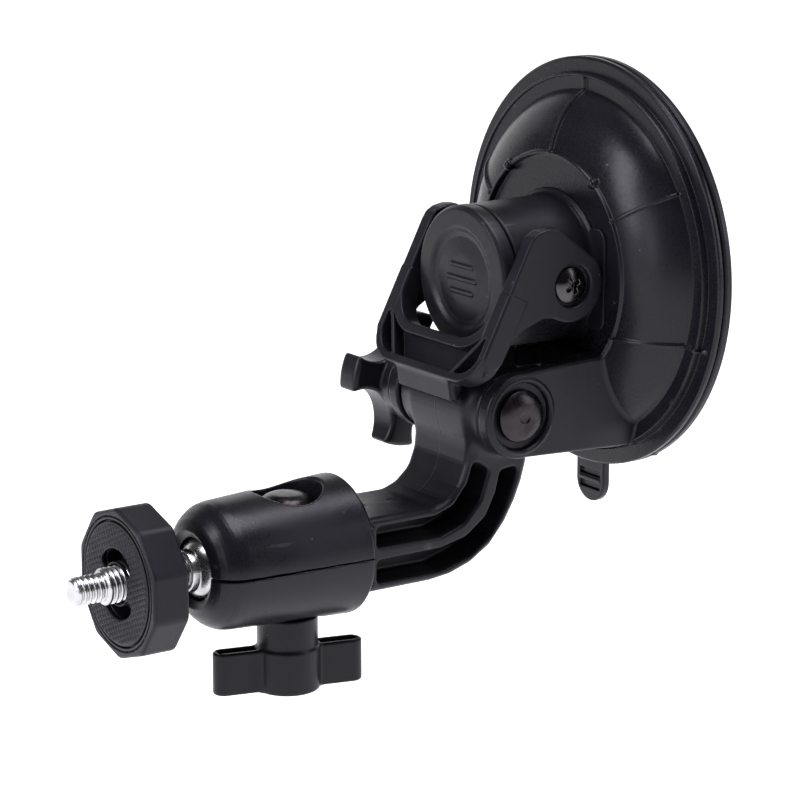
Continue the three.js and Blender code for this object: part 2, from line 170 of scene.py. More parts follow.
def nets(f, lo, hi, h):
    """Surface nets on the grid blocks near the surface. Returns points and quads."""
    lo = np.array(lo, float) - 2.5 * h
    hi = np.array(hi, float) + 2.5 * h
    big, B = 16, 4
    nb = np.ceil((hi - lo) / (h * big)).astype(int)
    bi = np.stack(np.meshgrid(*[np.arange(n) for n in nb], indexing="ij"), -1).reshape(-1, 3)
    d = evaluate(f, lo + (bi + 0.5) * h * big)
    bi = bi[np.abs(d) < h * big * 0.9 + 2 * h]
    sub = np.stack(np.meshgrid(*[np.arange(big // B)] * 3, indexing="ij"), -1).reshape(-1, 3)
    bi = (bi[:, None, :] * (big // B) + sub[None]).reshape(-1, 3)
    d = evaluate(f, lo + (bi + 0.5) * h * B)
    bi = bi[np.abs(d) < h * B * 0.9 + h]
    o = np.arange(B + 1)
    L = np.stack(np.meshgrid(o, o, o, indexing="ij"), -1).reshape(-1, 3)
    C = (bi[:, None, :] * B + L[None]).reshape(-1, 3)
    v = evaluate(f, lo + C * h).reshape(-1, B + 1, B + 1, B + 1)
    v = np.where(v == 0, 1e-9, v)
    c8 = np.stack([v[:, i:i + B, j:j + B, k:k + B] for i, j, k in CORNERS], -1)
    neg = (c8 < 0).sum(-1)
    act = np.argwhere((neg > 0) & (neg < 8))
    val = c8[act[:, 0], act[:, 1], act[:, 2], act[:, 3]]
    cell = bi[act[:, 0]] * B + act[:, 1:]
    pos = np.zeros((len(cell), 3))
    cnt = np.zeros(len(cell))
    for a, b in EDGES:
        va, vb = val[:, a], val[:, b]
        m = (va < 0) != (vb < 0)
        t = np.where(m, va / np.where(m, va - vb, 1), 0)
        pos += m[:, None] * (CORNERS[a] + t[:, None] * (CORNERS[b] - CORNERS[a]))
        cnt += m
    V = lo + (cell + pos / cnt[:, None]) * h
    N = cell.max(0) + 3
    key = ((cell[:, 0] + 1) * N[1] + cell[:, 1] + 1) * N[2] + cell[:, 2] + 1
    order = np.argsort(key)
    ks = key[order]

    def find(c):
        q = ((c[:, 0] + 1) * N[1] + c[:, 1] + 1) * N[2] + c[:, 2] + 1
        at = np.clip(np.searchsorted(ks, q), 0, len(ks) - 1)
        return np.where(ks[at] == q, order[at], -1)

    F = []
    for ax in range(3):
        u, w = (ax + 1) % 3, (ax + 2) % 3
        other = [i for i, c in enumerate(CORNERS) if c[ax] == 1 and c[u] == 0 and c[w] == 0][0]
        m = (val[:, 0] < 0) != (val[:, other] < 0)
        c = cell[m]
        du, dw = np.zeros(3, int), np.zeros(3, int)
        du[u], dw[w] = 1, 1
        q = np.stack([find(c), find(c - du), find(c - du - dw), find(c - dw)], 1)
        flip = val[m, 0] > 0
        q[flip] = q[flip][:, ::-1]
        F.append(q[(q >= 0).all(1)])
    return V, np.concatenate(F)


MADE = []


def new_object(name, V, F):
    me = bpy.data.meshes.new(name)
    if isinstance(F, list):
        me.from_pydata((V * MM).tolist(), [], F)
    else:
        n, k = F.shape
        me.vertices.add(len(V))
        me.vertices.foreach_set("co", (V * MM).astype(np.float32).ravel())
        me.loops.add(n * k)
        me.loops.foreach_set("vertex_index", F.astype(np.int32).ravel())
        me.polygons.add(n)
        me.polygons.foreach_set("loop_start", np.arange(0, n * k, k, dtype=np.int32))
    me.update(calc_edges=True)
    me.validate()
    ob = bpy.data.objects.new(name, me)
    bpy.context.scene.collection.objects.link(ob)
    return ob


def applied(ob):
    dg = bpy.context.evaluated_depsgraph_get()
    me = bpy.data.meshes.new_from_object(ob.evaluated_get(dg), depsgraph=dg)
    old = ob.data
    ob.modifiers.clear()
    ob.data = me
    me.name = ob.name
    bpy.data.meshes.remove(old)


def finish_piece(ob, body, replaces=(), mat=None):
    if mat is not None:
        ob.data.materials.clear()
        ob.data.materials.append(mat)
    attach(ob, body)
    if replaces:
        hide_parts(*replaces)
    MADE.append(ob)
    return ob


def sdf_piece(name, f, lo, hi, h, body, replaces=(), mat=None, ratio=0.35, steps=3):
    """Meshes f, thins flat areas, puts the points back on the surface and gives exact normals."""
    t = time.time()
    V, F = nets(f, lo, hi, h)

    def settle(V, n):
        for _ in range(n):
            g = gradient(f, V)
            l2 = np.maximum((g * g).sum(1), 0.2)
            V = V - np.clip(evaluate(f, V) / l2, -h, h)[:, None] * g
        return V

    V = settle(V, steps)
    ob = new_object(name, V, F)
    if ratio < 1:
        m = ob.modifiers.new("thin", "DECIMATE")
        m.ratio = ratio
        applied(ob)
    me = ob.data
    co = np.empty(len(me.vertices) * 3, np.float32)
    me.vertices.foreach_get("co", co)
    V = settle(co.reshape(-1, 3).astype(float) / MM, 1)
    me.vertices.foreach_set("co", (V * MM).astype(np.float32).ravel())
    me.update()
    g = gradient(f, V, 0.05)
    g /= np.maximum(np.linalg.norm(g, axis=1), 1e-9)[:, None]
    me.polygons.foreach_set("use_smooth", np.ones(len(me.polygons), bool))
    me.normals_split_custom_set_from_vertices(g.tolist())
    print(f"PIECE {name} grid {len(F)} faces {len(me.polygons)} {time.time() - t:.1f}s", flush=True)
    return finish_piece(ob, body, replaces, mat)


def revolve(name, path, axis, at, n, body, replaces=(), mat=None, thetas=None, shift=None, weighted=True):
    """A turned piece. path (r, h): starts and ends at r 0, or is a closed loop. shift(P, N) moves points along N."""
    th = np.linspace(0, 2 * math.pi, n, endpoint=False) if thetas is None else np.asarray(thetas)
    n = len(th)
    pts = np.array([(p[0], p[1]) for p in path], float)
    loop = not (pts[0, 0] < 1e-6 and pts[-1, 0] < 1e-6)
    # outward normals of the path
    nx = np.roll(pts, -1, 0) if loop else np.vstack([pts[1:], 2 * pts[-1] - pts[-2]])
    pv = np.roll(pts, 1, 0) if loop else np.vstack([2 * pts[0] - pts[1], pts[:-1]])
    tan = nx - pv
    tan /= np.maximum(np.linalg.norm(tan, axis=1), 1e-12)[:, None]
    area = 0.5 * float(np.sum(pts[:, 0] * np.roll(pts[:, 1], -1) - np.roll(pts[:, 0], -1) * pts[:, 1]))
    nrm = np.stack([tan[:, 1], -tan[:, 0]], 1) * (1 if area > 0 else -1)
    i = "xyz".index(axis)
    j, k = (i + 1) % 3, (i + 2) % 3
    P = np.zeros((n, len(pts), 3))
    N = np.zeros_like(P)
    P[:, :, i] = pts[None, :, 1]
    P[:, :, j] = pts[None, :, 0] * np.cos(th)[:, None]
    P[:, :, k] = pts[None, :, 0] * np.sin(th)[:, None]
    N[:, :, i] = nrm[None, :, 1]
    N[:, :, j] = nrm[None, :, 0] * np.cos(th)[:, None]
    N[:, :, k] = nrm[None, :, 0] * np.sin(th)[:, None]
    P += np.array(at, float)
    if shift is not None:
        s = shift(P.reshape(-1, 3), N.reshape(-1, 3)).reshape(n, len(pts))
        P = P + N * s[:, :, None]
    m = len(pts)
    V = P.reshape(-1, 3)
    a = np.arange(n)
    b = (a + 1) % n
    cols = np.arange(m if loop else m - 1)
    nxt = (cols + 1) % m
    q = np.stack([(a[:, None] * m + cols), (b[:, None] * m + cols), (b[:, None] * m + nxt), (a[:, None] * m + nxt)], -1).reshape(-1, 4)
    if area < 0:
        q = q[:, ::-1]
    ob = new_object(name, V, q)
    me = ob.data
    import bmesh
    bm = bmesh.new()
    bm.from_mesh(me)
    bmesh.ops.remove_doubles(bm, verts=bm.verts, dist=1e-7)
    bmesh.ops.dissolve_degenerate(bm, edges=bm.edges, dist=1e-7)
    if bm.calc_volume(signed=True) < 0:
        bmesh.ops.reverse_faces(bm, faces=bm.faces)
    bm.to_mesh(me)
    bm.free()
    me.polygons.foreach_set("use_smooth", np.ones(len(me.polygons), bool))
    if weighted:
        w = ob.modifiers.new("wn", "WEIGHTED_NORMAL")
        w.weight = 60
        applied(ob)
    print(f"PIECE {name} faces {len(ob.data.polygons)}", flush=True)
    return finish_piece(ob, body, replaces, mat)


def dense(path, step):
    """Adds points so that no stretch of the path is longer than step."""
    out = [path[0]]
    for p, q in zip(path[:-1], path[1:]):
        d = math.hypot(q[0] - p[0], q[1] - p[1])
        n = max(1, int(math.ceil(d / step)))
        out += [(p[0] + (q[0] - p[0]) * i / n, p[1] + (q[1] - p[1]) * i / n) for i in range(1, n + 1)]
    return out


def smooth(x, a, b):
    t = np.clip((x - a) / (b - a), 0, 1)
    return t * t * (3 - 2 * t)


# =====================================================================================
# Materials
# =====================================================================================

def material(name, color, rough, metal=0.0, coat=0.0, coat_rough=0.1, spec=0.5, sheen=0.0):
    m = bpy.data.materials.new(name)
    m.use_nodes = True
    nt = m.node_tree
    b = nt.nodes["Principled BSDF"]
    b.inputs["Metallic"].default_value = metal
    b.inputs["Specular IOR Level"].default_value = spec
    b.inputs["Coat Weight"].default_value = coat
    b.inputs["Coat Roughness"].default_value = coat_rough
    b.inputs["Sheen Weight"].default_value = sheen
    b.inputs["Base Color"].default_value = (*color, 1)
    b.inputs["Roughness"].default_value = rough
    return m, nt, b


def node(nt, kind, **inputs):
    n = nt.nodes.new(kind)
    for k, v in inputs.items():
        if k in n.inputs.keys():
            n.inputs[k].default_value = v
        else:
            setattr(n, k, v)
    return n


def math_node(nt, op, a, b=None, clamp=False):
    n = nt.nodes.new("ShaderNodeMath")
    n.operation = op
    n.use_clamp = clamp
    for i, v in enumerate((a, b)):
        if v is None:
            continue
        if isinstance(v, (int, float)):
            n.inputs[i].default_value = v
        else:
            nt.links.new(v, n.inputs[i])
    return n.outputs[0]


def ramp(nt, fac, lo, hi, a, b):
    n = nt.nodes.new("ShaderNodeMapRange")
    n.inputs["From Min"].default_value = lo
    n.inputs["From Max"].default_value = hi
    n.inputs["To Min"].default_value = a
    n.inputs["To Max"].default_value = b
    nt.links.new(fac, n.inputs["Value"])
    return n.outputs["Result"]


def coords(nt):
    return nt.nodes.new("ShaderNodeTexCoord").outputs["Object"]


def noise(nt, co, scale, detail=2.0, rough=0.5, stretch=None):
    if stretch is not None:
        mp = nt.nodes.new("ShaderNodeMapping")
        mp.inputs["Scale"].default_value = stretch
        nt.links.new(co, mp.inputs["Vector"])
        co = mp.outputs[0]
    n = nt.nodes.new("ShaderNodeTexNoise")
    n.inputs["Scale"].default_value = scale
    n.inputs["Detail"].default_value = detail
    n.inputs["Roughness"].default_value = rough
    nt.links.new(co, n.inputs["Vector"])
    return n.outputs["Fac"]


def mix_color(nt, fac, a, b):
    n = nt.nodes.new("ShaderNodeMix")
    n.data_type = "RGBA"
    for sock, v in ((n.inputs["Factor"], fac), (n.inputs["A"], a), (n.inputs["B"], b)):
        if hasattr(v, "node"):
            nt.links.new(v, sock)
        elif isinstance(v, tuple):
            sock.default_value = (*v, 1)
        else:
            sock.default_value = v
    return n.outputs["Result"]


def bump(nt, b, height, distance, strength=1.0, chain=None):
    n = nt.nodes.new("ShaderNodeBump")
    n.inputs["Distance"].default_value = distance
    n.inputs["Strength"].default_value = strength
    nt.links.new(height, n.inputs["Height"])
    if chain is not None:
        nt.links.new(chain, n.inputs["Normal"])
    nt.links.new(n.outputs[0], b.inputs["Normal"])
    return n.outputs[0]


def edge_wear(nt, lo=0.535, hi=0.63):
    g = nt.nodes.new("ShaderNodeNewGeometry")
    return ramp(nt, g.outputs["Pointiness"], lo, hi, 0.0, 1.0)


def plastic(name, base, rough, grain=0.5, grain_depth=0.00002, streak=None, spots=True, edge=0.05, spec=0.5, line=None):
    """Moulded ABS: spark-eroded grain, flow variation, rubbed edges, a few pale dust specks."""
    m, nt, b = material(name, base, rough, spec=spec)
    co = coords(nt)
    broad = noise(nt, co, 55, 3)
    fine = noise(nt, co, 5200, 2)
    mid = noise(nt, co, 1500, 3, 0.6)
    wear = edge_wear(nt)
    c = mix_color(nt, ramp(nt, broad, 0.35, 0.68, 0, 1), tuple(x * 0.82 for x in base), tuple(x * 1.28 for x in base))
    c = mix_color(nt, math_node(nt, "MULTIPLY", wear, 0.75), c, tuple(min(1, x + edge) for x in base))
    if spots:
        speck = noise(nt, co, 900, 1)
        c = mix_color(nt, ramp(nt, speck, 0.79, 0.82, 0, 0.45), c, (0.16, 0.16, 0.17))
    nt.links.new(c, b.inputs["Base Color"])
    r = ramp(nt, broad, 0.3, 0.7, rough - 0.05, rough + 0.06)
    r = math_node(nt, "ADD", r, ramp(nt, mid, 0.3, 0.7, -0.05, 0.05))
    r = math_node(nt, "SUBTRACT", r, math_node(nt, "MULTIPLY", wear, 0.08), clamp=True)
    nt.links.new(r, b.inputs["Roughness"])
    h = math_node(nt, "ADD", math_node(nt, "MULTIPLY", fine, 0.6 * grain), math_node(nt, "MULTIPLY", mid, 1.0 * grain))
    last = bump(nt, b, h, grain_depth)
    # slow waviness of the moulded skin
    last = bump(nt, b, noise(nt, co, 120, 2), 0.00010, 0.6, last)
    if line is not None:
        # mould parting line: a fine raised thread where one object coordinate crosses a value
        axis, value = line
        sep = nt.nodes.new("ShaderNodeSeparateXYZ")
        nt.links.new(co, sep.inputs[0])
        off = math_node(nt, "ABSOLUTE", math_node(nt, "SUBTRACT", sep.outputs["XYZ".index(axis)], value))
        bump(nt, b, ramp(nt, off, 0.00006, 0.00016, 1, 0), 0.00009, 1.0, last)
    return m


def rubber(name, base, rough, spec=0.5):
    m, nt, b = material(name, base, rough, spec=spec)
    co = coords(nt)
    broad = noise(nt, co, 40, 3)
    fine = noise(nt, co, 2600, 3, 0.65)
    smear = noise(nt, co, 140, 4, 0.6)
    c = mix_color(nt, ramp(nt, broad, 0.35, 0.7, 0, 1), tuple(x * 0.85 for x in base), tuple(x * 1.3 for x in base))
    c = mix_color(nt, ramp(nt, smear, 0.60, 0.75, 0, 0.5), c, tuple(x + 0.014 for x in base))
    nt.links.new(c, b.inputs["Base Color"])
    nt.links.new(ramp(nt, smear, 0.3, 0.7, rough - 0.07, rough + 0.09), b.inputs["Roughness"])
    last = bump(nt, b, fine, 0.000018)
    bump(nt, b, noise(nt, co, 160, 2), 0.00012, 0.6, last)
    return m


def metal(name, base, rough, scratch=1.0, brush=None, dark=0.55, spec=0.5):
    m, nt, b = material(name, base, rough, metal=1.0, spec=spec)
    co = coords(nt)
    cloud = noise(nt, co, 260, 4, 0.62)
    fine = noise(nt, co, 2400, 3, 0.6)
    sc = noise(nt, co, 900, 2, 0.6, stretch=brush or (1, 0.06, 0.3))
    c = mix_color(nt, ramp(nt, cloud, 0.34, 0.72, 0, 1), tuple(x * dark for x in base), base)
    nt.links.new(c, b.inputs["Base Color"])
    r = math_node(nt, "ADD", ramp(nt, cloud, 0.3, 0.7, rough - 0.07, rough + 0.1), ramp(nt, sc, 0.55, 0.75, 0.0, 0.14 * scratch), clamp=True)
    nt.links.new(r, b.inputs["Roughness"])
    last = bump(nt, b, fine, 0.000012 * scratch)
    last = bump(nt, b, sc, 0.000022 * scratch, 0.9, last)
    bump(nt, b, noise(nt, co, 330, 3, 0.6), 0.00004 * scratch, 0.8, last)
    return m


ABS = (0.0078, 0.0073, 0.0106)
M = {
    "shell": plastic("shell_abs", ABS, 0.36, spec=0.20, edge=0.035),
    "dome": plastic("dome_abs", (0.0076, 0.0071, 0.0103), 0.28, grain=0.55, grain_depth=0.000022, spec=0.22, edge=0.03),
    "neck": plastic("neck_abs", (0.0076, 0.0072, 0.0100), 0.34, spec=0.18, edge=0.03),
    "cap": plastic("cap_abs", (0.0080, 0.0076, 0.0108), 0.38, grain=0.6, spec=0.24, edge=0.035),
    "lever": plastic("lever_abs", (0.0080, 0.0075, 0.0108), 0.38, spec=0.19, edge=0.035),
    "arm": plastic("arm_abs", (0.0072, 0.0068, 0.0095), 0.37, line=("X", 0.0), spec=0.22, edge=0.03),
    "clamp": plastic("clamp_abs", (0.0076, 0.0071, 0.0104), 0.32, grain=0.6, spec=0.24, edge=0.03),
    "knob": plastic("knob_abs", (0.0076, 0.0072, 0.0102), 0.34, spec=0.26, edge=0.03),
    "tknob": plastic("t_knob_abs", (0.0070, 0.0066, 0.0090), 0.35, spec=0.20, edge=0.03),
    "wheel": plastic("wheel_abs", (0.0090, 0.0084, 0.0116), 0.40, spec=0.20, edge=0.03),
    "cup": rubber("cup_rubber", (0.0085, 0.0075, 0.0112), 0.36, spec=0.26),
    "pad": rubber("pad_rubber", (0.0095, 0.0090, 0.0112), 0.52, spec=0.28),
    "screw": metal("screw_black", (0.085, 0.080, 0.082), 0.17, 0.8),
    "bolt": metal("bolt_bronze", (0.046, 0.040, 0.043), 0.26, 1.2, brush=(1, 0.4, 0.1)),
    "silver": metal("zinc_plate", (0.62, 0.62, 0.62), 0.22, 0.8, dark=0.7),
    "steel": metal("zinc_plate_inner", (0.45, 0.45, 0.44), 0.34, 1.0),
}


# =====================================================================================
# Suction cup
# =====================================================================================
AXZ = -56.24
cup_path = dense(fillet([
    (0, 0), (37.6, 0), (37.9, -0.22, 0.1), (38.5, -0.22, 0.1), (38.8, 0), (41.6, 0), (41.9, -0.22, 0.1), (42.5, -0.22, 0.1), (42.8, 0),
    (46.7, 0, 0.4), (47.5, -0.6, 0.45), (47.5, -1.9, 0.35), (47.0, -2.25, 0.25), (46.2, -2.4, 0.3), (15, -2.4, 2.0), (13.2, -3.4, 1.0), (12.6, -5.6, 0.6), (0, -5.6),
], closed=False), 3.0)


def nib(P, N):
    d = np.sqrt((P[:, 0] - 22.6) ** 2 + (P[:, 1] + 1.2) ** 2 + (P[:, 2] + 41.8) ** 2)
    return 0.55 * np.exp(-(d / 0.55) ** 2)


th = np.radians(np.sort(np.concatenate([np.arange(0, 360, 1.5), 151.6 + np.arange(-1.4, 1.5, 0.28)])))
revolve("cup_disc", cup_path, "y", (0, 0, 0), 0, "base", ("suction_cup",), M["cup"], thetas=th, shift=nib)


def f_tab(P):
    x, y, z = P.T
    shape = np.maximum(np.hypot(x, np.minimum(z + 52.5, 0)) - 5.2, z + 45.0)
    d = ext(shape, np.abs(y + 1.45) - 0.95, 0.4)
    for zc in (-50.7, -53.8):
        slot = ext(np.maximum(np.abs(x) - 3.7, np.abs(z - zc) - 0.72), np.abs(y + 2.6) - 0.9, 0.2)
        d = cut(d, slot, 0.3)
    rib = ext(np.maximum(np.abs(x) - 3.9, np.abs(z + 52.25) - 0.35), np.abs(y + 2.2) - 0.45, 0.25)
    return smin(d, rib, 0.3)


sdf_piece("cup_lift_tab", f_tab, (-5.5, -2.9, -58), (5.5, -0.3, -44.8), 0.2, "base", ("suction_cup",), M["cup"], ratio=0.5)

# =====================================================================================
# Base shell: dome, neck, ears
# =====================================================================================


def bezier(p0, p1, p2, p3, n):
    return [tuple((1 - t) ** 3 * np.array(p0) + 3 * (1 - t) ** 2 * t * np.array(p1) + 3 * (1 - t) * t * t * np.array(p2) + t ** 3 * np.array(p3)) for t in [i / n for i in range(n + 1)]]


bulge = bezier((39.75, -6.0), (37.5, -10.2), (32.5, -13.7), (26.95, -14.8), 26)[1:]
front = fillet([(44.2, -2.9), (47.5, -2.9, 0.3), (47.5, -4.0, 0.4), (47.0, -4.32, 0.3), (44.0, -4.32, 0.2), (43.75, -6.0, 0.28), (43.2, -6.0, 0.28), (43.0, -5.5, 0.15), (40.1, -5.5, 0.2), (39.75, -6.0, 0.3)], closed=False)
ring_in = fillet([(26.95, -14.8), (26.8, -15.5, 0.3), (26.1, -15.5, 0.3), (25.85, -14.0, 0.3), (16.9, -14.0)], closed=False)
back = [(16.9, -12.2), (28.4, -12.2), (32.4, -10.6), (35.5, -8.0), (37.5, -4.9), (44.2, -2.95)]
dome_path = dense(front + bulge + ring_in[1:], 0.55) + dense(back, 4.0)

RIBS = [(0.0, 26.4, 43.3), (math.radians(58.8), 26.6, 40.3), (math.radians(-58.8), 26.6, 40.3)]


def dome_detail(P, N):
    x, y, z = P.T
    r = np.hypot(x, z)
    out = N[:, 1] < 0.25
    h = np.zeros(len(P))
    for a, r0, r1 in RIBS:
        along = x * math.sin(a) + z * math.cos(a)
        off = np.abs(x * math.cos(a) - z * math.sin(a))
        w = 0.62 if r1 > 42 else 0.5
        m = (along > r0) & (along < r1)
        h = np.maximum(h, np.where(m, 0.62 * (1 - smooth(off, w * 0.5, w)), 0))
    # the two ribs that close the ribbed sector run level, not radially
    ax = np.abs(x)
    line = -12.8 - 0.75 * smooth(ax, 37.5, 42.5)
    m = (ax > 23.2) & (ax < 43.4)
    h = np.maximum(h, np.where(m, 0.62 * (1 - smooth(np.abs(z - line), 0.25, 0.55)), 0))
    # gate beads on the inner rim
    for s in (-1, 1):
        d = np.hypot(x - s * 16.0, z - 21.6)
        h = np.maximum(h, np.where(d < 1.15, 0.95 * np.sqrt(np.maximum(1 - (d / 1.15) ** 2, 0)), 0) * (y < -13.5))
    h = h * out
    # no step rib or inner rim below the ribbed sector
    low = smooth(-(z - line), 0.0, 0.5)
    step = (r > 43.0) & (r < 43.95) & (y < -5.2) & (N[:, 1] < -0.6)
    h -= 0.52 * low * step
    rim = (r > 25.8) & (r < 26.93) & (y < -15.0) & (N[:, 1] < -0.6)
    h -= 0.85 * smooth(-z - 12.9, 0.0, 0.6) * rim
    return h


deg = [np.arange(0, 360, 1.5)]
for a in (0, 58.8, -58.8):
    deg.append(a % 360 + np.array([-1.3, -1.05, -0.85, -0.7, -0.5, -0.3, 0.05, 0.3, 0.5, 0.7, 0.85, 1.05, 1.3]))
deg.append(np.arange(107, 121, 0.3))
deg.append(np.arange(239, 253, 0.3))
for a in (36.53, 360 - 36.53):
    deg.append(a + np.arange(-3.0, 3.01, 0.3))
deg = np.unique(np.round(np.concatenate(deg) % 360, 2))
deg = deg[np.concatenate([[True], np.diff(deg) > 0.12])]
revolve("base_dome", dome_path, "y", (0, 0, 0), 0, "base", ("base_shell",), M["dome"], thetas=np.radians(deg), shift=dome_detail)

NECK_TUBE = lathe(fillet([(13.6, -12.6), (16.9, -12.6), (16.55, -35.7, 0.5), (13.6, -35.7, 0.4)], steps=3))
NECK_FOOT = lathe(fillet([(13.6, -12.4), (18.4, -12.4), (18.2, -14.45, 0.3), (13.6, -14.45)], steps=3))


def f_neck(P):
    x, y, z = P.T
    r = np.hypot(x, z)
    d = smin(NECK_TUBE(r, y), NECK_FOOT(r, y), 1.8)
    slot = ext(np.maximum(np.abs(z) - 2.7, np.abs(y + 26.8) - 5.2), 12 - np.abs(x), 0.1)
    d = cut(d, np.maximum(slot, 12 - np.abs(x)), 0.5)
    return d


sdf_piece("base_neck", f_neck, (-19, -36, -19), (19, -12.3, 19), 0.42, "base", ("base_shell",), M["neck"], ratio=0.4)

DOME2 = poly2([(-20, -14.0), (26.0, -14.0), (26.95, -14.8)] + bezier((39.75, -6.0), (37.5, -10.2), (32.5, -13.7), (26.95, -14.8), 9)[::-1][1:] + [(40.1, -5.5), (43.8, -5.5), (44.0, -4.32), (47.3, -4.32), (47.5, -3.0), (-20, -3.0)])
EAR = poly2(fillet([(-8, -17.0), (-14.5, -17.4, 0)] + arc(-37.0, -28.5, 9.8, 83, 277, 24) + [(-5.2, -39.6, 0), (-3.5, -39.7), (-3.5, -20)]))


def f_ears(P):
    x, y, z = P.T
    ax = np.abs(x)
    r = np.hypot(x, z)
    dome = DOME2(r, y)
    side = EAR(y, z)
    # each ear thickens a little towards the dome
    face = 19.5 + 1.4 * smooth(y, -24.0, -6.0) * smooth(z, -40.0, -33.0)
    d = ext(side, np.maximum(ax - face, 15.8 - ax) * 0.97, 0.7)
    web = box(P, (-16.4, -18.0, -34.5), (16.4, -6.0, -17.2), 0.5)
    spine = box(P, (-0.9, -24.5, -22.5), (0.9, -15.0, -17.6), 0.5)
    d = smin(d, web, 1.4)
    d = smin(d, spine, 0.8)
    d = smin(d, dome, 0.9)
    # bolt head seats: a raised lip round the bolt hole on each ear, and a recess in the +X ear
    h = np.hypot(y + 37.0, z + 28.5)
    lip = ext(np.abs(h - 8.35) - 0.35, np.abs(ax - 19.35) - 0.42, 0.25)
    d = smin(d, lip, 0.5)
    sink = ext(h - 7.6, np.where(x > 0, 18.1 - x, 99.0), 0.25)
    d = cut(d, sink, 0.5)
    d = cut(d, ext(h - 3.3, ax - 40, 0.1), 0.3)
    # keep only what stands out of the dome, and the parts near the ears
    near = box(P, (-22.6, -48, -44.0), (22.6, -3.6, -16.0), 0.5)
    return np.maximum(np.maximum(d + 0.035, -(dome + 0.55)), near)


sdf_piece("base_ears", f_ears, (-22.8, -47.2, -44.2), (22.8, -3.5, -15.8), 0.38, "base", ("base_shell",), M["shell"], ratio=0.38)


def f_pads(P):
    x, y, z = P.T
    d2 = ext(np.abs(np.abs(x) - 16.6) - 3.3, np.abs(z + 0.3) - 11.7, 2.8)
    return ext(d2, np.abs(y + 13.9) - 0.95, 0.3)


sdf_piece("cam_pads", f_pads, (-20.2, -15.1, -12.3), (20.2, -12.8, 11.7), 0.28, "base", ("base_shell",), M["shell"], ratio=0.4)

# =====================================================================================
# Press cap
# =====================================================================================
CAP = lathe(fillet([(0, -39.95), (5.5, -39.85, 6), (10.2, -39.25, 1.6), (11.9, -40.28, 0.9), (15.9, -40.2, 0.6), (16.7, -39.3, 0.6), (16.7, -36.2, 0.35), (15.0, -36.2, 0.3), (15.0, -37.6), (8.3, -37.6), (8.3, -30.2, 0.3), (6.6, -30.2, 0.3), (6.6, -37.6), (0, -37.6)], steps=3))


def f_cap(P):
    x, y, z = P.T
    d = CAP(np.hypot(x, z), y)
    # plain thumb grip: three raised bars
    for zc, w in ((-3.0, 4.0), (0.0, 5.2), (3.0, 4.0)):
        top = 39.95 - 0.006 * (x * x + z * z)
        bar = ext(np.hypot(np.maximum(np.abs(x) - w, 0), z - zc) - 0.5, np.abs(y + top) - 0.36, 0.22)
        d = smin(d, bar, 0.3)
    return d


sdf_piece("press_cap_shell", f_cap, (-16.8, -40.4, -16.8), (16.8, -30.1, 16.8), 0.27, "cap", ("press_cap",), M["cap"], ratio=0.3)

# =====================================================================================
# Lock lever
# =====================================================================================
LT = np.array([-36.3, 10.6])
LD = np.array([-0.459, -0.888])
LN = np.array([0.888, -0.459])
LD /= np.linalg.norm(LD)
LN = np.array([-LD[1], LD[0]])


def lever_at(s, n=0.0):
    p = LT + LD * s + LN * n
    return (p[0], p[1])


LEVER_SIDE = poly2(fillet([
    (*lever_at(0.3), 0.8), (-35.3, 12.1, 1.0), (-33.4, 13.2, 2.0), (-30.8, 13.65, 2.0), (-28.3, 13.45, 1.0),
    *[(*p, 0) for p in arc(-24.2, 0, 8.3, 41, -126, 26)], (-32.2, -6.6, 0.8), (-38.4, -8.8, 5), (-41.3, -11.4, 2), (*lever_at(27.0, 5.1), 2), (*lever_at(30.5, 2.6), 0), (*lever_at(27.0, 0), 0)], steps=3))


def f_lever(P):
    x, y, z = P.T
    ax = np.abs(x)
    s = (y - LT[0]) * LD[0] + (z - LT[1]) * LD[1]
    n = (y - LT[0]) * LN[0] + (z - LT[1]) * LN[1]
    arms = ext(LEVER_SIDE(y, z), np.abs(ax - 19.2) - 1.8, 0.55)
    # stirrup in the lever's own plane: outer and inner outlines with round corners
    R, S = 8.0, 33.9
    q0 = np.maximum(ax - (21.0 - R), 0)
    q1 = np.maximum(s - (S - R), 0)
    outer = np.where((ax > 21 - R) & (s > S - R), np.hypot(q0, q1) - R, np.maximum(ax - 21.0, s - S))
    ri, si = 8.4, 24.0
    p0, p1 = ax - (17.2 - ri), s - (si - ri)
    inner = np.where((p0 > 0) & (p1 > 0), np.hypot(p0, p1) - ri, np.maximum(ax - 17.2, s - si))
    plan = smax(outer, -inner, 0.3)
    plan = np.maximum(plan, 12.0 - s)
    thick = 5.2 - 0.9 * smooth(s, 29.5, 34.5)
    bar = ext(plan, np.maximum(-n, n - thick), 0.55)
    d = smin(arms, bar, 0.8)
    lip = ext(poly2([(-51.0, -19.4), (-50.0, -24.9), (-48.2, -25.6), (-46.4, -21.0)])(y, z), ax - 10.9, 1.1)
    d = smin(d, lip, 1.0)
    # between the window wall and the outer wall the stirrup is hollowed; a slanting web parts the
    # middle tray from an open corner on each side
    gap = smax(np.maximum(2.5 - inner, outer + 2.0), 22.6 - s, 0.8)
    wx, ws = ax - 13.6, s - 28.9
    side_of = wx * 0.82 + ws * 0.57
    tray = smax(np.maximum(gap, n - 3.3), side_of + 0.45, 0.3)
    corner = smax(np.maximum(gap, n - 9.0), 0.45 - side_of, 0.3)
    d = cut(d, tray, 0.5)
    d = cut(d, corner, 0.45)
    # screw seat
    h = np.hypot(y + 24.2, z)
    d = cut(d, np.maximum(h - 4.9, 19.5 - ax), 0.5)
    d = cut(d, h - 2.45, 0.2)
    # the corners of the cam noses are hollowed on the inside
    pocket = box(np.stack([ax, y, z], 1), (16.0, -34.6, 9.4), (18.7, -29.4, 12.3), 0.4)
    return cut(d, pocket, 0.4)


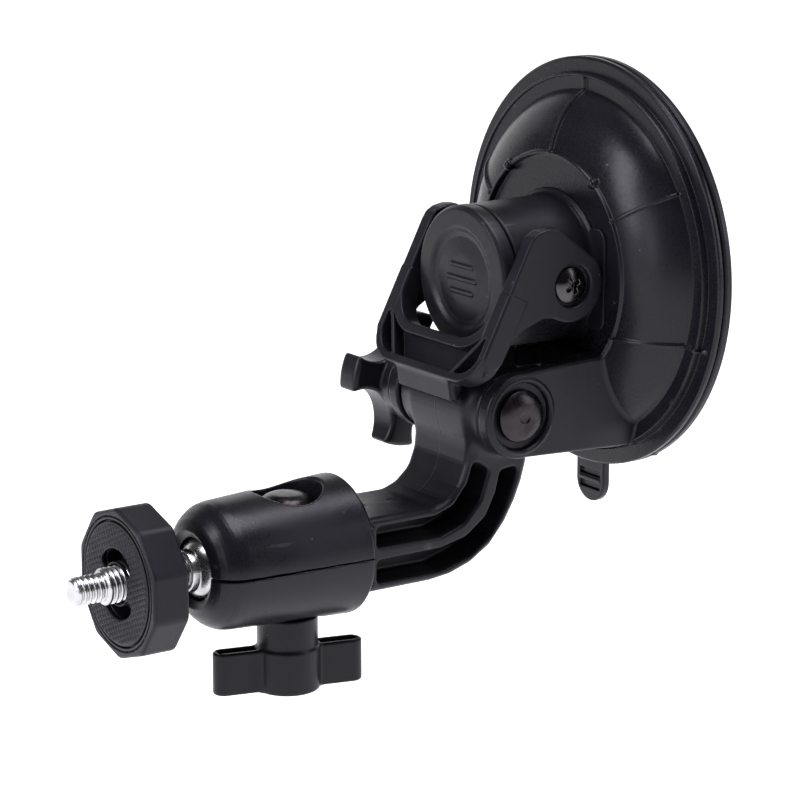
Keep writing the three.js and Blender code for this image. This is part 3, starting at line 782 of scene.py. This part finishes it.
sdf_piece("lever_stirrup", f_lever, (-21.1, -52.5, -26), (21.1, -15.7, 13.9), 0.33, "lever", ("lock_lever",), M["lever"], ratio=0.36)


def f_screw(P):
    x, y, z = P.T
    ax = np.abs(x)
    yy, h = y + 24.2, np.hypot(y + 24.2, z)
    head = ext(h - 4.3, np.maximum(19.75 - ax, ax - 21.15), 0.25)
    dome = np.sqrt((ax - 13.2) ** 2 + h ** 2) - 7.95
    head = smax(head, dome, 0.3)
    shank = ext(h - 2.0, np.maximum(7.6 - ax, ax - 20.2), 0.2)
    d = smin(head, shank, 0.2)
    # cross recess, turned a little
    c, s = math.cos(0.5), math.sin(0.5)
    a, b = np.abs(c * yy + s * z), np.abs(-s * yy + c * z)
    depth = ax - 21.2
    wing = np.minimum(np.maximum(a - 2.15 - 0.35 * depth, b - 0.5 - 0.12 * depth), np.maximum(b - 2.15 - 0.35 * depth, a - 0.5 - 0.12 * depth))
    cross = np.maximum(np.minimum(wing, h - 0.95), 19.95 - ax)
    return cut(d, cross, 0.15)


for nm, s in (("right", 1), ("left", -1)):
    lo, hi = ((7.5, -28.6, -4.4), (21.2, -19.8, 4.4)) if s > 0 else ((-21.2, -28.6, -4.4), (-7.5, -19.8, 4.4))
    sdf_piece("screw_" + nm, (lambda s: lambda P: np.maximum(f_screw(P), -s * P[:, 0]))(s), lo, hi, 0.16, "plunger", ("lever_screw_" + nm,), M["screw"], ratio=0.5)

# =====================================================================================
# Pivot bolt, its washer, the arm
# =====================================================================================
PY, PZ = -37.0, -28.5


def turned(name, axis, at, path, n, body, replaces, mat, step=1.2):
    return revolve(name, dense(fillet(path, closed=False, steps=4), step), axis, at, n, body, replaces, mat)


turned("pivot_bolt_shape", "x", (0, PY, PZ), [(0, -31.9), (2.5, -31.9, 0.3), (2.9, -31.4, 0.3), (2.9, 18.45, 0.2), (5.9, 18.45, 0.25), (6.05, 18.7, 0.2), (5.95, 19.35, 0.4), (4.9, 20.15, 1.5), (3.2, 20.62, 2.0), (1.4, 20.72, 1.5), (1.2, 20.5, 0.2), (0, 20.5)], 64, "base", ("pivot_bolt",), M["bolt"])
turned("pivot_washer_shape", "x", (0, PY, PZ), [(3.25, -20.65), (8.0, -20.65, 0.2), (8.0, -19.85, 0.2), (3.25, -19.85)], 64, "base", ("knob_washer",), M["silver"])

HUB = arc(PY, PZ, 9.3, 185, -20, 26)
ARM_OUT = HUB + [(-28.8, -37.0), (-28.9, -41.6), (-30.2, -46.2), (-32.1, -50.6), (-34.9, -55.3), (-39.1, -60.1), (-44.7, -63.5), (-50.2, -65.2), (-55.7, -65.8), (-73.2, -65.8), (-73.2, -48.8), (-54.8, -48.9), (-51.1, -47.6), (-47.6, -44.6), (-45.9, -40.3), (-45.3, -34.6)]


G1 = [(-44.1, -39.3), (-45.9, -44.5), (-49.8, -48.9), (-54.6, -50.6), (-70.6, -50.7), (-70.6, -55.6), (-53.0, -55.6), (-47.0, -53.6), (-42.4, -48.8), (-40.1, -42.0)]
G2 = [(-36.9, -42.8), (-38.1, -47.6), (-40.9, -52.9), (-46.3, -56.8), (-53.0, -58.3), (-70.6, -58.5), (-70.6, -63.8), (-52.8, -63.9), (-44.9, -61.6), (-38.9, -57.2), (-35.0, -51.1), (-32.7, -45.6), (-31.8, -42.2)]


g1 = poly2(fillet([(*p, 1.1) if i in (0, 4, 5, 9) else (*p, 3.0) for i, p in enumerate(G1)], steps=5))
g2 = poly2(fillet([(*p, 1.1) if i in (0, 5, 6, 12) else (*p, 3.0) for i, p in enumerate(G2)], steps=5))
arm_side = poly2(fillet([(*p, 0) if i < 27 else ((*p, 0.2) if p in ((-73.2, -65.8), (-73.2, -48.8)) else (*p, 3.0)) for i, p in enumerate(ARM_OUT)], steps=4))


def f_arm(P):
    x, y, z = P.T
    ax = np.abs(x)
    a2 = arm_side(y, z)
    body = ext(a2, ax - 11.5, 2.3)
    # the end that meets the clamp is cut square
    body = np.maximum(body, -(y + 73.2))
    blunt = ext(np.maximum(a2, -(y + 73.2)), ax - 11.5, 0.4)
    h = np.hypot(y - PY, z - PZ)
    hub = ext(h - 9.3, ax - 15.3, 0.9)
    step = ext(h - 7.0, ax - 15.5, 0.4)
    d = smin(body, hub, 3.2)
    # two grooves in each face, with a little draft
    draft = 0.06 * (11.5 - np.minimum(ax, 11.5))
    for g in (g1, g2):
        groove = np.maximum(g(y, z) + draft, 3.5 - ax)
        groove = smax(g(y, z) + draft, 3.5 - ax, 0.8)
        d = cut(d, groove, 0.9)
    # tongue held between the clamp halves
    tongue = box(P, (-8, -80.6, AXZ - 6.0), (8, -72.2, AXZ + 6.0), 0.5)
    d = np.minimum(d, tongue)
    d = cut(d, ext(h - 3.3, ax - 40, 0.1), 0.35)
    # small ejector marks on the inner side
    for yy in (-58.5, -67.5):
        pin = ext(np.hypot(x, y - yy) - 1.6, np.abs(z + 48.6) - 0.35, 0.1)
        d = cut(d, pin, 0.2)
    return d


sdf_piece("arm_shape", f_arm, (-15.6, -80.8, -66.0), (15.6, -27.5, -19.0), 0.42, "arm", ("curved_arm",), M["arm"], ratio=0.42)

# =====================================================================================
# Star knob of the pivot, far side
# =====================================================================================


def f_star(P):
    x, y, z = P.T
    u, v = y - PY, z - PZ
    h = np.hypot(u, v)
    ang = np.arctan2(v, u)
    d2 = h - 16.0
    for q in range(4):
        a = math.radians(33 + 90 * q)
        d2 = smax(d2, 7.9 - np.hypot(u - 15.9 * math.cos(a), v - 15.9 * math.sin(a)), 1.0)
    body = ext(d2, np.maximum(-33.0 - x, x + 24.0), 1.25)
    # the faces of the lobes are gently domed
    body = smax(body, np.sqrt((x + 24.0 - 26.0) ** 2 + (h * 0.9) ** 2) - 35.6, 0.8)
    ring = ext(h - 8.5, np.maximum(-25.5 - x, x + 21.0), 0.5)
    collar = ext(h - 7.2, np.maximum(-26 - x, x + 20.7), 0.2)
    d = smin(body, ring, 0.8)
    d = smin(d, collar, 0.3)
    hexa = np.maximum(np.abs(u), np.maximum(np.abs(0.5 * u + 0.866 * v), np.abs(0.5 * u - 0.866 * v))) - 5.9 * 0.866
    d = cut(d, np.maximum(hexa, x + 28.6), 0.35)
    return cut(d, h - 3.3, 0.3)


sdf_piece("star_knob_shape", f_star, (-33.1, PY - 16.2, PZ - 16.2), (-20.6, PY + 16.2, PZ + 16.2), 0.33, "pivot_knob", ("star_knob",), M["knob"], ratio=0.4)


def hex_nut(r, half, lo, hi, bore):
    """Nut with chamfered corners, axis along h; u, v across."""
    def f(u, v, h):
        rr = np.hypot(u, v)
        side = np.maximum(np.abs(u), np.maximum(np.abs(0.5 * u + 0.866 * v), np.abs(0.5 * u - 0.866 * v))) - r * 0.866
        d = ext(side, np.maximum(lo - h, h - hi), 0.12)
        cone = (rr - r * 0.93) * 0.5 + (np.abs(h - (lo + hi) / 2) - (hi - lo) / 2) * 0.866
        d = smax(d, cone, 0.1)
        inner = np.maximum(bore - rr, (bore + 0.5 - rr) * 0.7 + (np.abs(h - (lo + hi) / 2) - (hi - lo) / 2) * 0.7)
        return smax(d, inner, 0.1)
    return f


nut1 = hex_nut(5.4, 0, -32.6, -28.95, 2.95)
sdf_piece("star_nut_shape", lambda P: nut1(P[:, 1] - PY, P[:, 2] - PZ, P[:, 0]), (-32.7, PY - 5.5, PZ - 5.5), (-28.8, PY + 5.5, PZ + 5.5), 0.22, "pivot_knob", ("star_knob_nut",), M["silver"], ratio=0.35)

# =====================================================================================
# Clamp: two half shells round the ball, bolt, T knob
# =====================================================================================
BARREL = poly2([(-30, -73.8)] + fillet([(15.4, -73.8), (15.95, -74.4, 0.5), (15.35, -86.0), (14.9, -95.0), (14.35, -105.2, 3), (13.95, -107.4, 2.5), (12.65, -109.5, 3), (10.8, -111.2, 2), (8.7, -112.0, 0.3), (6.6, -111.0)], closed=False, steps=4) + [(-30, -111.0)])
BY = -87.2


def f_clamp(P, upper):
    x, y, z = P.T
    w = z - AXZ
    r = np.hypot(x, w)
    d = BARREL(r, y)
    # inside: tongue pocket, ball socket, mouth
    pocket = box(P, (-8.4, -81.0, AXZ - 6.4), (8.4, -73.0, AXZ + 6.4), 0.3)
    d = cut(d, pocket, 0.3)
    rb = np.sqrt(x ** 2 + (y + 105.0) ** 2 + w ** 2)
    d = cut(d, rb - 9.1, 0.2)
    d = cut(d, np.maximum(r - 6.85, y + 105), 0.4)
    mouth = np.maximum((r - 7.0) * 0.64 + (y + 110.9) * 0.77, -(y + 112.6) - 4)
    d = cut(d, np.maximum(mouth, y + 109.5), 0.2)
    d = cut(d, np.hypot(x, y - BY) - 3.3, 0.3)
    if upper:
        hb = np.hypot(x, y - BY)
        # bolt head bowl (the lip shape below is worked out but not added)
        lip = ext(np.abs(hb - 8.7) - 0.7, np.abs(w - 12.9) - 2.0, 0.3)
        bowl = ext(hb - 8.0, np.maximum(9.0 - w, w - 30), 0.35)
        d = cut(d, bowl, 0.7)
        d = cut(d, np.maximum(np.hypot(x, y + 105) - 4.4, w - 11.2), 0.2)
        # thin lip along the seam, on the outside
        gap = 0.08 + 0.0060 * (-73.8 - y)
        d = smax(d, gap - w, 0.18)
    else:
        hb = np.hypot(x, y - BY)
        spot = ext(hb - 7.5, z + 70.2, 0.2)
        d = cut(d, np.maximum(hb - 7.5, z + 70.2), 0.4)
        gap = 0.08 + 0.0060 * (-73.8 - y)
        d = smax(d, gap + w, 0.18)
    return d


sdf_piece("clamp_upper_shape", lambda P: f_clamp(P, True), (-16, -112.2, AXZ - 0.2), (16, -73.6, AXZ + 16.1), 0.36, "arm", ("upper_clamp_shell",), M["clamp"], ratio=0.36)
sdf_piece("clamp_lower_shape", lambda P: f_clamp(P, False), (-16, -112.2, AXZ - 16.1), (16, -73.6, AXZ + 0.2), 0.36, "arm", ("lower_clamp_shell",), M["clamp"], ratio=0.34)
turned("clamp_bolt_shape", "z", (0, BY, 0), [(0, -84.6), (2.4, -84.6, 0.3), (2.9, -84.1, 0.3), (2.9, -46.2, 0.2), (6.1, -46.2, 0.3), (6.3, -45.9, 0.2), (6.2, -44.7, 0.5), (5.2, -43.45, 1.6), (3.4, -42.75, 2.0), (1.2, -42.62, 1), (0, -42.6)], 72, "arm", ("clamp_bolt",), M["bolt"])
turned("clamp_washer_shape", "z", (0, BY, 0), [(3.3, -46.92), (7.2, -46.92, 0.2), (7.2, -46.22, 0.2), (3.3, -46.22)], 64, "arm", ("clamp_washer",), M["silver"])

TA = math.radians(-14)


def f_tknob(P):
    x, y, z = P.T
    y = y - BY
    c, s = math.cos(TA), math.sin(TA)
    # wings lie along local v (the Y direction turned by the angle)
    u = x * c + y * s
    v = -x * s + y * c
    h = np.hypot(x, y)
    neck = ext(h - 6.84, np.maximum(-79.0 - z, z + 70.55), 0.4)
    hub = ext(h - 7.3, np.maximum(-87.7 - z, z + 77.6), 0.7)
    wing2 = np.hypot(u, np.maximum(np.abs(v) - 14.9, 0)) - 2.5
    wing = ext(wing2, np.maximum(-87.5 - z, z + 77.7), 0.6)
    d = smin(hub, wing, 0.9)
    d = smin(d, neck, 0.5)
    # slot along each wing, open at the top
    slot = ext(np.maximum(np.abs(u) - 1.25, np.abs(np.abs(v) - 11.9) - 4.4), np.abs(z + 77.0) - 7.0, 0.3)
    d = cut(d, slot, 0.4)
    hexa = np.maximum(np.abs(u), np.maximum(np.abs(0.5 * u + 0.866 * v), np.abs(0.5 * u - 0.866 * v))) - 5.9 * 0.866
    d = cut(d, np.maximum(hexa, z + 83.9), 0.35)
    return cut(d, h - 3.3, 0.3)


sdf_piece("t_knob_shape", f_tknob, (-8.8, BY - 17.5, -87.8), (8.8, BY + 17.5, -70.4), 0.32, "clamp_knob", ("t_knob",), M["tknob"], ratio=0.42)
nut2 = hex_nut(5.4, 0, -87.4, -84.25, 2.95)


def f_nut2(P):
    c, s = math.cos(TA), math.sin(TA)
    x, y = P[:, 0], P[:, 1] - BY
    return nut2(x * c + y * s, -x * s + y * c, P[:, 2])


sdf_piece("t_nut_shape", f_nut2, (-5.6, BY - 5.6, -87.5), (5.6, BY + 5.6, -84.1), 0.22, "clamp_knob", ("t_knob_nut",), M["silver"], ratio=0.35)

# =====================================================================================
# Ball, stud, lock wheel, pad
# =====================================================================================
turned("seat_pad_shape", "z", (0, -105.0, 0), [(0, AXZ + 9.05), (3.6, AXZ + 9.05, 0.2), (4.0, AXZ + 9.4, 0.2), (4.0, AXZ + 10.8, 0.3), (0, AXZ + 10.8)], 48, "ball_yaw", ("ball_seat_pad",), M["steel"])
ball_arc = [(8.5 * math.sin(t), -105.0 - 8.5 * math.cos(t + math.pi)) for t in np.linspace(0.0, math.pi - 0.586, 44)]
ball_path = [(0, -96.5)] + ball_arc[1:] + [(4.66, -112.2), (4.62, -113.6), (4.45, -114.0), (4.1, -114.15), (3.3, -114.15), (3.0, -113.9), (3.0, -109.5), (0, -109.5)]
revolve("ball_shape", ball_path, "y", (0, 0, AXZ), 96, "ball_pitch", ("ball",), M["silver"])


def thread(y0, y1, pitch, crest, depth, step=0.085):
    """Points (radius offset fraction) are made by the shift below; returns the path heights."""
    n = max(2, int(round(abs(y1 - y0) / step)))
    return [(crest, y0 + (y1 - y0) * i / n) for i in range(n + 1)]


stud_path = fillet([(0, -109.6), (2.65, -109.6, 0.2), (2.65, -112.95, 0.2), (3.4, -113.1, 0.2), (3.4, -118.5, 0.3), (5.0, -119.0, 0.25), (5.0, -120.6, 0.25), (4.05, -120.9, 0.1)], closed=False, steps=3)
stud_path += thread(-121.2, -133.7, 1.25, 4.05, 0.62)
stud_path += [(3.5, -134.0), (3.175, -134.15)]
stud_path += thread(-134.3, -140.5, 1.27, 3.175, 0.7)
stud_path += [(2.85, -140.95), (2.4, -141.35), (2.2, -141.4), (1.4, -141.4), (0.7, -141.4), (0, -141.4)]
stud_path = dense(stud_path[:8], 0.8) + stud_path[8:]


def stud_shift(P, N):
    x, y = P[:, 0], P[:, 1]
    w = P[:, 2] - AXZ
    r = np.hypot(x, w)
    a = np.arctan2(x, w) / (2 * math.pi)
    out = np.zeros(len(P))
    for y0, y1, pitch, depth, rr in ((-121.2, -133.6, 1.25, 0.6, 4.05), (-134.3, -140.55, 1.27, 0.62, 3.175)):
        m = (y <= y0 + 0.02) & (y >= y1 - 0.02) & (r > rr * 0.97)
        ph = ((-y / pitch + a) % 1.0)
        tri = np.abs(ph - 0.5) * 2            # 0 root ... 1 crest
        prof = np.clip((tri - 0.14) / 0.68, 0, 1)
        fade = smooth(-(y - y0), 0.0, 0.6) * smooth(y - y1, 0.0, 0.8)
        out -= np.where(m, depth * (1 - prof) * fade, 0)
    return out


revolve("stud_shape", stud_path, "y", (0, 0, AXZ), 72, "stud", ("ball_stud",), M["silver"], shift=stud_shift, weighted=False)


def kidney(x, w, r0, r1, half):
    """Curved slots at the top and the bottom."""
    r = np.hypot(x, w)
    a = np.arctan2(np.abs(x), np.abs(w))
    rm = (r0 + r1) / 2
    h = math.radians(half)
    ex, ew = rm * math.sin(h), rm * math.cos(h)
    cap = np.hypot(np.abs(x) - ex, np.abs(w) - ew) - (r1 - r0) / 2
    band = np.abs(r - rm) - (r1 - r0) / 2
    return np.where(a < h, band, cap)


def f_wheel(P):
    x, y, z = P.T
    w = z - AXZ
    r = np.hypot(x, w)
    a = np.arctan2(x, w)
    sec = math.pi / 5
    q = (a + sec / 2) % sec - sec / 2      # corner at the top
    # rounded decagon: intersection of the flats with a circle
    flat = None
    for i in range(10):
        t = math.radians(18 + 36 * i)
        e = x * math.sin(t) + w * math.cos(t) - 16.9 * math.cos(math.radians(18))
        flat = e if flat is None else smax(flat, e, 0.5)
    d = ext(smax(flat, r - 16.85, 0.3), np.maximum(-130.3 - y, y + 121.6), 0.8)
    # pad seat and the two rings beside it
    d = cut(d, np.maximum(r - 14.0, y + 129.2), 0.15)
    groove = np.maximum(np.abs(r - 14.75) - 0.16, y + 129.85)
    d = cut(d, groove, 0.12)
    # back face: shallow dish with a raised hub
    dish = ext(np.abs(r - 10.2) - 3.0, np.abs(y + 121.0) - 1.5, 0.4)
    d = cut(d, dish, 0.5)
    d = cut(d, np.maximum(kidney(x, w, 4.9, 7.8, 48), y + 125.2), 0.4)
    return cut(d, r - 4.4, 0.35)


sdf_piece("lock_wheel_shape", f_wheel, (-17, -130.4, AXZ - 17), (17, -121.4, AXZ + 17), 0.3, "wheel", ("lock_wheel",), M["wheel"], ratio=0.4)

PITCH = 1.12


def f_pad(P):
    x, y, z = P.T
    w = z - AXZ
    r = np.hypot(x, w)
    c, s = math.cos(0.42), math.sin(0.42)
    u, v = x * c + w * s, -x * s + w * c
    uu = np.abs((u / PITCH) % 1.0 - 0.5) * 2
    vv = np.abs((v / PITCH) % 1.0 - 0.5) * 2
    knurl = 0.30 * np.clip(1.35 * np.minimum(uu, vv), 0, 1)   # 0 in the grooves
    inside = smooth(13.2 - r, 0, 0.35) * smooth(r - 4.9, 0, 0.3) * smooth(kidney(x, w, 4.9, 7.8, 48), 0.1, 0.5)
    face = -130.42 - knurl * inside - 0.06 * inside
    d = ext(r - 13.55, np.maximum(face - y, y + 129.5), 0.12)
    d = cut(d, kidney(x, w, 4.9, 7.8, 48), 0.2)
    return cut(d, r - 4.5, 0.2)


sdf_piece("wheel_pad_shape", f_pad, (-13.7, -130.9, AXZ - 13.7), (13.7, -129.4, AXZ + 13.7), 0.17, "wheel", ("wheel_pad",), M["pad"], ratio=0.5, steps=4)

# =====================================================================================
# Plunger, seen only through the slots of the neck
# =====================================================================================
turned("stem_plate_shape", "y", (0, 0, 0), [(0, -5.95), (11.6, -5.95, 0.3), (12.0, -6.3, 0.3), (12.0, -6.9, 0.3), (11.5, -7.2, 0.3), (3.6, -7.2, 0.5), (3.2, -7.7, 0.4), (3.2, -17.2, 0.2), (2.8, -17.6, 0.2), (0, -17.6)], 64, "plunger", ("stem_plate",), M["steel"])


for nm, mt in (("pull_stem", "neck"), ("cap_spring", "steel")):
    ob = bpy.data.objects[nm]
    for sl in ob.material_slots:
        sl.link = "OBJECT"
        sl.material = M[mt]

# =====================================================================================
# Camera, floor, light
# =====================================================================================
cam = bpy.data.objects.new("camera", bpy.data.cameras.new("camera"))
bpy.context.scene.collection.objects.link(cam)
cam.location = (0.5685, -0.4472, 0.1420)
target = Vector((-0.003755, -0.05415, -0.02694))
cam.rotation_mode = "QUATERNION"
cam.rotation_quaternion = (target - Vector(cam.location)).to_track_quat("-Z", "Y")
cam.data.lens = 142.25
cam.data.sensor_width = 36
cam.data.clip_start, cam.data.clip_end = 0.01, 30
bpy.context.scene.camera = cam

floor_me = bpy.data.meshes.new("floor")
# a pale sheet that lies flat round the object and sweeps up behind it
sweep = [(-3.0, 0.0), (1.6, 0.0)] + [(1.6 + 0.6 * math.sin(t), 0.6 - 0.6 * math.cos(t)) for t in np.radians(np.arange(10, 91, 10))] + [(2.2, 1.5)]
aim2 = Vector((-0.82, 0.567, 0))
side2 = Vector((0.567, 0.824, 0))
fv = [tuple(aim2 * p + side2 * w + Vector((0, 0, -0.105 + q))) for p, q in sweep for w in (-3.0, 3.0)]
floor_me.from_pydata(fv, [], [(2 * i, 2 * i + 1, 2 * i + 3, 2 * i + 2) for i in range(len(sweep) - 1)])
floor_me.polygons.foreach_set("use_smooth", np.ones(len(floor_me.polygons), bool))
floor = bpy.data.objects.new("floor", floor_me)
bpy.context.scene.collection.objects.link(floor)
fm, fnt, fb = material("floor_white", (0.8, 0.8, 0.8), 0.8, spec=0.1)
fb.inputs["Emission Color"].default_value = (1, 1, 1, 1)
fb.inputs["Emission Strength"].default_value = 0.8
floor_me.materials.append(fm)

world = bpy.data.worlds.new("world")
bpy.context.scene.world = world
world.use_nodes = True
bg = world.node_tree.nodes["Background"]
bg.inputs["Color"].default_value = (1.0, 1.0, 1.0, 1)
bg.inputs["Strength"].default_value = 0.09
bpy.context.scene.view_settings.view_transform = "Standard"

MID = Vector((0.0, -0.055, -0.02))
BACK = Vector((0.80, -0.55, 0.237)).normalized()      # towards the camera
RIGHT = Vector((0.567, 0.824, 0.0))
UP = Vector((0, 0, 1))


def area(name, right, up, back, w, h, radiance, color=(1, 1, 1)):
    """Softbox placed by the camera's own right, up and back, aimed at the object."""
    at = MID + RIGHT * right + UP * up + BACK * back
    L = bpy.data.lights.new(name, "AREA")
    L.shape = "RECTANGLE"
    L.size, L.size_y = w, h
    L.energy = radiance * w * h * math.pi
    L.color = color
    o = bpy.data.objects.new(name, L)
    bpy.context.scene.collection.objects.link(o)
    o.location = at
    o.rotation_mode = "QUATERNION"
    o.rotation_quaternion = (MID - at).to_track_quat("-Z", "Y")
    return o


TINT = (1.0, 0.97, 1.08)
area("top_soft", 0.16, 0.78, 0.0, 0.50, 0.46, 8.0, TINT)
area("right_soft", 0.75, 0.22, 0.15, 0.26, 0.5, 3.6, TINT)
area("left_soft", -0.74, 0.36, 0.38, 0.30, 0.72, 8.5, TINT)
area("front_soft", -0.55, 0.02, 0.70, 0.18, 0.34, 4.0, TINT)
